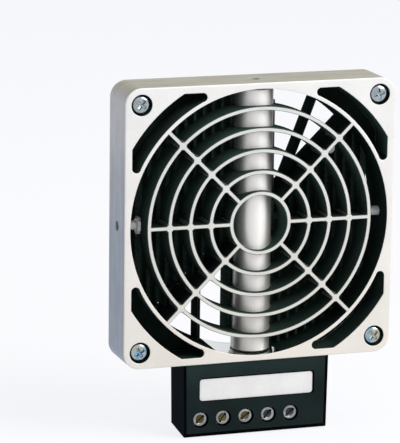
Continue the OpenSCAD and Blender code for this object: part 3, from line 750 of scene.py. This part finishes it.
def corner_fixings():
    """Domed cross-recess screws with threaded ends behind the frame."""
    head_r, shank_r, stud_r, stud_core = 3.9 * MM, 1.75 * MM, 2.0 * MM, 1.62 * MM
    head_back = FRONT_Y + 3.6 * MM
    stud_start, stud_pitch = FRAME_HIGH.y, 0.7 * MM
    shank_end, shank_step = stud_start + 0.05 * MM, 6 * MM
    spins = {(-1, 1): 0.95, (1, 1): 0.2, (-1, -1): 0.5, (1, -1): 0.75}
    bm = bmesh.new()
    for (side, level), spin in spins.items():
        place = (side * SCREW_PITCH / 2, level * SCREW_PITCH / 2)
        depth = cross_head_depth(head_r, drop=1.1 * MM, arm=2.2 * MM, width=1.05 * MM, deep=1.7 * MM,
                                 spin=spin)
        turned_head(bm, place, head_r, CORNER_LOW.y, head_back, depth, rings=30, segments=88)
        threaded_rod(bm, place, shank_r, shank_r, head_back, shank_end, shank_step)
        threaded_rod(bm, place, stud_r, stud_core, stud_start, CORNER_HIGH.y, stud_pitch)
    finish_piece("corner_fixings", bm, [PASSIVATED], "corner_screws")


def fin_block_fixings():
    """Small domed screws that hold the fin blocks to the casting, the right one painted white as a glint and
    the left one painted black as shade.
    """
    head_r, shank_r, shank_core, shank_pitch = 2.2 * MM, 1.25 * MM, 1.0 * MM, 0.45 * MM
    head_back = BLOCK_SCREW_LOW.y + 1.6 * MM
    bm = bmesh.new()
    for side, spin in ((1, 0.4), (-1, 1.1)):
        place = side_middle("block_screws", side)
        depth = cross_head_depth(head_r, drop=0.9 * MM, arm=1.3 * MM, width=0.7 * MM, deep=0.9 * MM,
                                 spin=spin)
        turned_head(bm, place, head_r, BLOCK_SCREW_LOW.y, head_back, depth, rings=20, segments=56)
        threaded_rod(bm, place, shank_r, shank_core, head_back, BLOCK_SCREW_HIGH.y, shank_pitch, segments=20)
    finishes = [PAINTED_HIGHLIGHT, SHADE_BLACK]
    for f in bm.faces:
        f.material_index = finishes.index(SHADE_BLACK if f.calc_center_median().x < 0 else PAINTED_HIGHLIGHT)
    finish_piece("fin_block_fixings", bm, finishes, "block_screws")


def terminal_fixings():
    """Dished slotted clamp screws. The first three have shaded brass in the dish, the others dark steel,
    both as painted shade in the dish.
    """
    spins = (0.75, 0.95, 0.6, 0.85, 0.7)
    brass_ones = 3
    dish_from = 0.42 * MM
    shank_r, shank_core, shank_pitch = 1.5 * MM, 1.25 * MM, 0.5 * MM
    head_r = (TERMINAL_HIGH.z - TERMINAL_LOW.z) / 2
    head_back = TERMINAL_LOW.y + 2.5 * MM
    first_x = TERMINAL_LOW.x + head_r
    pitch = (TERMINAL_HIGH.x - head_r - first_x) / (len(spins) - 1)
    finishes = [RING_STEEL, SHADED_BRASS, SHADED_STEEL]
    bm = bmesh.new()
    for i, spin in enumerate(spins):
        place = (first_x + pitch * i, (TERMINAL_LOW.z + TERMINAL_HIGH.z) / 2)
        dish = finishes.index(SHADED_BRASS if i < brass_ones else SHADED_STEEL)
        turned_head(bm, place, head_r, TERMINAL_LOW.y, head_back, slotted_dish_depth(spin), rings=26,
                    segments=72, sunk=dish_from, sunk_index=dish)
        threaded_rod(bm, place, shank_r, shank_core, head_back, TERMINAL_HIGH.y, shank_pitch, segments=20)
    finish_piece("terminal_fixings", bm, finishes, "terminal_screws")


def dress(node, mat):
    """Gives a node of the part that stays a better material."""
    obj = NODES[node]
    if not obj.material_slots:
        obj.data.materials.append(mat)
    for slot in obj.material_slots:
        slot.material = mat


guard_casting()
plain_piece("bar_body", "heater_bar", BAR, width=0.4 * MM)
fin_body("left_fins", "left_fin_block", side=-1)
fin_body("right_fins", "right_fin_block", side=1)
housing_shell()
plain_piece("rear_cover", "terminal_cover", BLOCK, width=0.25 * MM)
label_face()
grub_screws("side_grub_screws", "side_set_screws")
grub_screws("bar_grub_screw", "bar_set_screw")
corner_fixings()
fin_block_fixings()
terminal_fixings()

for node_name, finish in (
    ("housing_screws", ZINC), ("housing_washer", ZINC), ("cover_screws", ZINC),
    ("heating_cartridge", SHEATH), ("cartridge_plug", CERAMIC), ("terminal_clamps", BRASS),
    ("link_strips", BRASS), ("earth_tag", BRASS), ("heat_limiter", LIMITER), ("lead_grommet", GROMMET),
    ("limiter_lead", LEAD), ("cartridge_leads", LEAD), ("earth_lead", EARTH),
):
    dress(node_name, finish)


# Stage

BACKDROP = (0.945, 0.95, 0.975, 1)


def seen_directly(tree):
    """1 for camera, mirror and see-through rays."""
    path = tree.nodes.new("ShaderNodeLightPath")
    seen = path.outputs["Is Camera Ray"]
    for kind in ("Is Glossy Ray", "Is Transmission Ray"):
        either = tree.nodes.new("ShaderNodeMath")
        either.operation = "MAXIMUM"
        put(tree, either, 0, seen)
        put(tree, either, 1, path.outputs[kind])
        seen = either.outputs[0]
    return seen


def blended(tree, fac, first, second, output):
    """Joins two shaders by a factor at the tree's output."""
    mix = tree.nodes.new("ShaderNodeMixShader")
    put(tree, mix, 0, fac)
    put(tree, mix, 1, first.outputs[0])
    put(tree, mix, 2, second.outputs[0])
    put(tree, tree.nodes[output], "Surface", mix.outputs[0])


def floor():
    """Pale paper under the part, mostly of its own brightness where it is seen, so a soft shadow stays."""
    half, gap = 4.0, 0.3 * MM
    glow_strength, glow_share = 1.08, 0.8
    level = cad_box[0].z - gap
    corners = [(x * half, y * half, level) for x, y in ((-1, -1), (1, -1), (1, 1), (-1, 1))]
    mesh = bpy.data.meshes.new("floor")
    mesh.from_pydata(corners, [], [(0, 1, 2, 3)])
    obj = bpy.data.objects.new("floor", mesh)
    SCENE.collection.objects.link(obj)
    mat, tree, shader = material("floor_paper")
    put(tree, shader, "Base Color", BACKDROP)
    put(tree, shader, "Roughness", 0.9)
    glow = add(tree, "ShaderNodeEmission", Color=BACKDROP, Strength=glow_strength)
    share = tree.nodes.new("ShaderNodeMath")
    share.operation = "MULTIPLY"
    put(tree, share, 0, seen_directly(tree))
    put(tree, share, 1, glow_share)
    blended(tree, share.outputs[0], shader, glow, "Material Output")
    mesh.materials.append(mat)


def world():
    """Soft cool light from all round, seen as the pale backdrop."""
    sky = bpy.data.worlds.new("studio")
    SCENE.world = sky
    sky.use_nodes = True
    tree = sky.node_tree
    light = tree.nodes["Background"]
    put(tree, light, "Color", (0.9, 0.93, 1.0, 1))
    put(tree, light, "Strength", 0.42)
    seen = add(tree, "ShaderNodeBackground", Color=BACKDROP, Strength=1.0)
    blended(tree, seen_directly(tree), light, seen, "World Output")


def softbox(name, azimuth, elevation, distance, size, power, colour):
    """A square area lamp that looks at the frame's middle. Azimuth 0 is in front and 90 at the right."""
    lamp = bpy.data.lights.new(name, "AREA")
    lamp.shape = "SQUARE"
    lamp.size = size
    lamp.energy = power
    lamp.color = colour
    obj = bpy.data.objects.new(name, lamp)
    a, e = math.radians(azimuth), math.radians(elevation)
    away = Vector((math.sin(a) * math.cos(e), -math.cos(a) * math.cos(e), math.sin(e)))
    obj.location = away * distance
    obj.rotation_euler = (-away).to_track_quat("-Z", "Y").to_euler()
    SCENE.collection.objects.link(obj)


def camera():
    """Camera fitted to the four corner screws of the photograph."""
    sensor, focal_pixels, photo_pixels = 36, 3000, 443
    place = (-0.4179, -1.1738, 0.2727)
    right = Vector((0.9477, -0.3189, 0.0126))
    up = Vector((0.0575, 0.2096, 0.9761))
    back = Vector((-0.3139, -0.9243, 0.2170))
    data = bpy.data.cameras.new("camera")
    data.sensor_width = sensor
    data.lens = sensor * focal_pixels / photo_pixels
    data.clip_start = 0.05
    data.clip_end = 50
    obj = bpy.data.objects.new("camera", data)
    obj.matrix_world = Matrix.Translation(place) @ Matrix((right, up, back)).transposed().to_4x4()
    SCENE.collection.objects.link(obj)
    SCENE.camera = obj


floor()
world()
softbox("key", azimuth=46, elevation=36, distance=1.6, size=0.9, power=17.2, colour=(1.0, 0.985, 0.96))
softbox("top_fill", azimuth=10, elevation=78, distance=1.5, size=1.0, power=3.4, colour=(1.0, 0.9, 0.76))
camera()
SCENE.view_settings.view_transform = "Standard"
